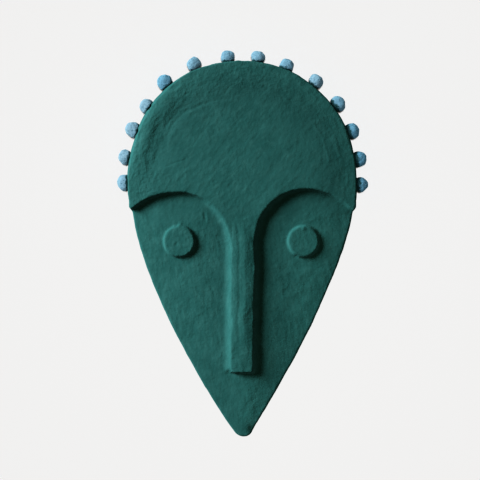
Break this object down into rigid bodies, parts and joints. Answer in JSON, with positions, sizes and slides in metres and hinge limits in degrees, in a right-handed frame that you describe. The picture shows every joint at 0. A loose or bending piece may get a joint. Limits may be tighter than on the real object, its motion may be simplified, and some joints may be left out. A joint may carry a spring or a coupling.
{
  "type": "african mask",
  "caption": "Hollow papier-mache wall mask in dark green: a domed forehead runs into a long nose between disc eyes, the face narrows to the chin, and blue pulp balls ring the upper rim.",
  "frame": {"origin": "on the surface that the mask lies on, under the middle of its outline, balls included", "axes": "+X to the viewer's right, +Y up the face to the top of the head, +Z out of the face"},
  "size_m": [0.2512, 0.3858, 0.047],
  "materials": {
    "green_paint": "matte",
    "blue_paint": "matte"
  },
  "bodies": {
    "root": {"mask_body": "green_paint", "ball_01": "blue_paint", "ball_02": "blue_paint", "ball_03": "blue_paint", "ball_04": "blue_paint", "ball_05": "blue_paint", "ball_06": "blue_paint", "ball_07": "blue_paint", "ball_08": "blue_paint", "ball_09": "blue_paint", "ball_10": "blue_paint", "ball_11": "blue_paint", "ball_12": "blue_paint", "ball_13": "blue_paint", "ball_14": "blue_paint"}
  },
  "joints": []
}
